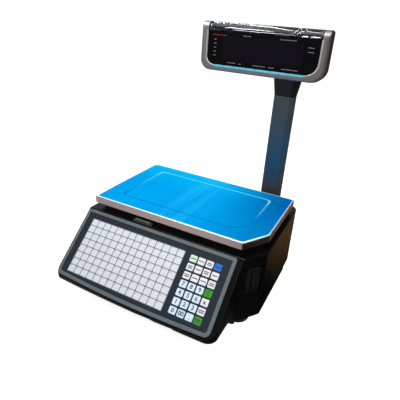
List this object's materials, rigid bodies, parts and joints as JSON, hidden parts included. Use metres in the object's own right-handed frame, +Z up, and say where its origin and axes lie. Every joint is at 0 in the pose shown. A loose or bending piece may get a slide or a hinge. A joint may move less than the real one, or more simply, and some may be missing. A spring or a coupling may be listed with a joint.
{
  "type": "label printing price scale",
  "caption": "Counter-top price scale with a flat weighing platter, a sloped keyboard, a display head on a rear pole and a label printer behind a side door.",
  "frame": {"origin": "on the counter, below the middle of the whole footprint", "axes": "+X to the operator's right, +Y from the operator towards the display pole, +Z up"},
  "size_m": [0.4, 0.4196, 0.546],
  "materials": {
    "black_housing": "moulded, semi-gloss",
    "tray_steel": "black powder coat",
    "screw_steel": "zinc plated",
    "vial": "grey holder with clear vial",
    "bezel_grey": "fine texture, satin",
    "overlay_slate": "satin film",
    "card_white": "printed film, satin",
    "circuit_board": "green solder mask",
    "aluminium": "machined",
    "cast_support": "die cast, grey",
    "stainless": "brushed",
    "blue_film": "clear gloss blue film",
    "psu_steel": "black",
    "rocker_black": "gloss",
    "pole_slate": "satin",
    "frame_silver": "silver satin",
    "shell_black": "satin",
    "smoked_window": "smoked gloss",
    "printer_steel": "zinc plated sheet",
    "head_aluminium": "anodised",
    "roller_rubber": "smooth",
    "spool_plastic": "natural",
    "motor_steel": "black",
    "label_paper": "matt",
    "foot_rubber": "matt",
    "key_white": "satin",
    "key_digit": "satin",
    "key_mint": "satin",
    "key_blue": "satin",
    "key_green": "satin"
  },
  "bodies": {
    "root": {"upper_housing": "black_housing", "base_tray": "tray_steel", "housing_screws": "screw_steel", "level_vial": "vial", "keyboard_bezel": "bezel_grey", "keypad_overlay": "overlay_slate", "hotkey_card": "card_white", "keyboard_board": "circuit_board", "load_cell": "aluminium", "main_board": "circuit_board", "power_supply": "psu_steel", "display_pole": "pole_slate", "printer_frame": "printer_steel", "feed_motor": "motor_steel"},
    "platter_carrier": {"platter_support": "cast_support"},
    "platter": {"weighing_platter": "stainless", "protective_film": "blue_film"},
    "display_head": {"display_neck": "pole_slate", "display_front_frame": "frame_silver", "display_rear_shell": "shell_black", "display_windows": "smoked_window", "display_board": "circuit_board"},
    "door": {"printer_door": "black_housing"},
    "print_head_arm": {"print_head": "head_aluminium"},
    "platen": {"platen_roller": "roller_rubber"},
    "take_up": {"take_up_spool": "spool_plastic"},
    "roll": {"label_roll": "label_paper"},
    "rocker": {"power_switch": "rocker_black"},
    "front_left_foot": {"front_left_foot": "foot_rubber"},
    "front_right_foot": {"front_right_foot": "foot_rubber"},
    "rear_left_foot": {"rear_left_foot": "foot_rubber"},
    "rear_right_foot": {"rear_right_foot": "foot_rubber"},
    "key_f1": {"key_f1": "key_mint"},
    "key_f2": {"key_f2": "key_white"},
    "key_f3": {"key_f3": "key_white"},
    "key_f4": {"key_f4": "key_blue"},
    "key_f5": {"key_f5": "key_white"},
    "key_f6": {"key_f6": "key_white"},
    "key_f7": {"key_f7": "key_white"},
    "key_f8": {"key_f8": "key_white"},
    "key_f9": {"key_f9": "key_white"},
    "key_f10": {"key_f10": "key_white"},
    "key_f11": {"key_f11": "key_white"},
    "key_f12": {"key_f12": "key_white"},
    "key_7": {"key_7": "key_digit"},
    "key_8": {"key_8": "key_digit"},
    "key_9": {"key_9": "key_digit"},
    "key_clear": {"key_clear": "key_green"},
    "key_4": {"key_4": "key_digit"},
    "key_5": {"key_5": "key_digit"},
    "key_6": {"key_6": "key_digit"},
    "key_times": {"key_times": "key_white"},
    "key_1": {"key_1": "key_digit"},
    "key_2": {"key_2": "key_digit"},
    "key_3": {"key_3": "key_digit"},
    "key_lookup": {"key_lookup": "key_white"},
    "key_0": {"key_0": "key_digit"},
    "key_00": {"key_00": "key_digit"},
    "key_point": {"key_point": "key_digit"},
    "key_print": {"key_print": "key_green"}
  },
  "joints": [
    {"name": "display_swivel", "type": "hinge", "parent": "root", "child": "display_head", "pos_m": [0.1205, 0.18778, 0.404], "axis": [0, 0, 1], "range_deg": [-90, 90]},
    {"name": "door_swing", "type": "hinge", "parent": "root", "child": "door", "pos_m": [0.19275, 0.14108, 0.08], "axis": [0, 0, 1], "range_deg": [0, 105]},
    {"name": "platter_sink", "type": "slide", "parent": "root", "child": "platter_carrier", "axis": [0, 0, -1], "range_m": [0, 0.0006], "stiffness_N_per_m": 60000},
    {"name": "platter_lift", "type": "slide", "parent": "platter_carrier", "child": "platter", "axis": [0, 0, 1], "range_m": [0, 0.06]},
    {"name": "head_release", "type": "hinge", "parent": "root", "child": "print_head_arm", "pos_m": [0.13301, -0.03492, 0.08], "axis": [0, 0, 1], "range_deg": [0, 25], "stiffness_Nm_per_rad": 0.05},
    {"name": "platen_spin", "type": "hinge", "parent": "root", "child": "platen", "pos_m": [0.15715, -0.06626, 0.08], "axis": [0, 0, 1], "continuous": true},
    {"name": "take_up_spin", "type": "hinge", "parent": "root", "child": "take_up", "pos_m": [0.12215, -0.06626, 0.08], "axis": [0, 0, 1], "continuous": true},
    {"name": "roll_spin", "type": "hinge", "parent": "root", "child": "roll", "pos_m": [0.1225, 0.06678, 0.08], "axis": [0, 0, 1], "continuous": true},
    {"name": "power_rocker", "type": "hinge", "parent": "root", "child": "rocker", "pos_m": [-0.1105, 0.17678, 0.049], "axis": [-1, 0, 0], "range_deg": [0, 14]},
    {"name": "screw_front_left_foot", "type": "slide", "parent": "root", "child": "front_left_foot", "axis": [0, 0, -1], "range_m": [0, 0.008]},
    {"name": "screw_front_right_foot", "type": "slide", "parent": "root", "child": "front_right_foot", "axis": [0, 0, -1], "range_m": [0, 0.008]},
    {"name": "screw_rear_left_foot", "type": "slide", "parent": "root", "child": "rear_left_foot", "axis": [0, 0, -1], "range_m": [0, 0.008]},
    {"name": "screw_rear_right_foot", "type": "slide", "parent": "root", "child": "rear_right_foot", "axis": [0, 0, -1], "range_m": [0, 0.008]},
    {"name": "press_key_f1", "type": "slide", "parent": "root", "child": "key_f1", "axis": [0, 0.6896, -0.7242], "range_m": [0, 0.0006], "stiffness_N_per_m": 300},
    {"name": "press_key_f2", "type": "slide", "parent": "root", "child": "key_f2", "axis": [0, 0.6896, -0.7242], "range_m": [0, 0.0006], "stiffness_N_per_m": 300},
    {"name": "press_key_f3", "type": "slide", "parent": "root", "child": "key_f3", "axis": [0, 0.6896, -0.7242], "range_m": [0, 0.0006], "stiffness_N_per_m": 300},
    {"name": "press_key_f4", "type": "slide", "parent": "root", "child": "key_f4", "axis": [0, 0.6896, -0.7242], "range_m": [0, 0.0006], "stiffness_N_per_m": 300},
    {"name": "press_key_f5", "type": "slide", "parent": "root", "child": "key_f5", "axis": [0, 0.6896, -0.7242], "range_m": [0, 0.0006], "stiffness_N_per_m": 300},
    {"name": "press_key_f6", "type": "slide", "parent": "root", "child": "key_f6", "axis": [0, 0.6896, -0.7242], "range_m": [0, 0.0006], "stiffness_N_per_m": 300},
    {"name": "press_key_f7", "type": "slide", "parent": "root", "child": "key_f7", "axis": [0, 0.6896, -0.7242], "range_m": [0, 0.0006], "stiffness_N_per_m": 300},
    {"name": "press_key_f8", "type": "slide", "parent": "root", "child": "key_f8", "axis": [0, 0.6896, -0.7242], "range_m": [0, 0.0006], "stiffness_N_per_m": 300},
    {"name": "press_key_f9", "type": "slide", "parent": "root", "child": "key_f9", "axis": [0, 0.6896, -0.7242], "range_m": [0, 0.0006], "stiffness_N_per_m": 300},
    {"name": "press_key_f10", "type": "slide", "parent": "root", "child": "key_f10", "axis": [0, 0.6896, -0.7242], "range_m": [0, 0.0006], "stiffness_N_per_m": 300},
    {"name": "press_key_f11", "type": "slide", "parent": "root", "child": "key_f11", "axis": [0, 0.6896, -0.7242], "range_m": [0, 0.0006], "stiffness_N_per_m": 300},
    {"name": "press_key_f12", "type": "slide", "parent": "root", "child": "key_f12", "axis": [0, 0.6896, -0.7242], "range_m": [0, 0.0006], "stiffness_N_per_m": 300},
    {"name": "press_key_7", "type": "slide", "parent": "root", "child": "key_7", "axis": [0, 0.6896, -0.7242], "range_m": [0, 0.0006], "stiffness_N_per_m": 300},
    {"name": "press_key_8", "type": "slide", "parent": "root", "child": "key_8", "axis": [0, 0.6896, -0.7242], "range_m": [0, 0.0006], "stiffness_N_per_m": 300},
    {"name": "press_key_9", "type": "slide", "parent": "root", "child": "key_9", "axis": [0, 0.6896, -0.7242], "range_m": [0, 0.0006], "stiffness_N_per_m": 300},
    {"name": "press_key_clear", "type": "slide", "parent": "root", "child": "key_clear", "axis": [0, 0.6896, -0.7242], "range_m": [0, 0.0006], "stiffness_N_per_m": 300},
    {"name": "press_key_4", "type": "slide", "parent": "root", "child": "key_4", "axis": [0, 0.6896, -0.7242], "range_m": [0, 0.0006], "stiffness_N_per_m": 300},
    {"name": "press_key_5", "type": "slide", "parent": "root", "child": "key_5", "axis": [0, 0.6896, -0.7242], "range_m": [0, 0.0006], "stiffness_N_per_m": 300},
    {"name": "press_key_6", "type": "slide", "parent": "root", "child": "key_6", "axis": [0, 0.6896, -0.7242], "range_m": [0, 0.0006], "stiffness_N_per_m": 300},
    {"name": "press_key_times", "type": "slide", "parent": "root", "child": "key_times", "axis": [0, 0.6896, -0.7242], "range_m": [0, 0.0006], "stiffness_N_per_m": 300},
    {"name": "press_key_1", "type": "slide", "parent": "root", "child": "key_1", "axis": [0, 0.6896, -0.7242], "range_m": [0, 0.0006], "stiffness_N_per_m": 300},
    {"name": "press_key_2", "type": "slide", "parent": "root", "child": "key_2", "axis": [0, 0.6896, -0.7242], "range_m": [0, 0.0006], "stiffness_N_per_m": 300},
    {"name": "press_key_3", "type": "slide", "parent": "root", "child": "key_3", "axis": [0, 0.6896, -0.7242], "range_m": [0, 0.0006], "stiffness_N_per_m": 300},
    {"name": "press_key_lookup", "type": "slide", "parent": "root", "child": "key_lookup", "axis": [0, 0.6896, -0.7242], "range_m": [0, 0.0006], "stiffness_N_per_m": 300},
    {"name": "press_key_0", "type": "slide", "parent": "root", "child": "key_0", "axis": [0, 0.6896, -0.7242], "range_m": [0, 0.0006], "stiffness_N_per_m": 300},
    {"name": "press_key_00", "type": "slide", "parent": "root", "child": "key_00", "axis": [0, 0.6896, -0.7242], "range_m": [0, 0.0006], "stiffness_N_per_m": 300},
    {"name": "press_key_point", "type": "slide", "parent": "root", "child": "key_point", "axis": [0, 0.6896, -0.7242], "range_m": [0, 0.0006], "stiffness_N_per_m": 300},
    {"name": "press_key_print", "type": "slide", "parent": "root", "child": "key_print", "axis": [0, 0.6896, -0.7242], "range_m": [0, 0.0006], "stiffness_N_per_m": 300}
  ],
  "couplings": [
    {"joint": "take_up_spin", "follows": "platen_spin", "ratio": -0.4},
    {"joint": "roll_spin", "follows": "platen_spin", "ratio": 0.164}
  ]
}
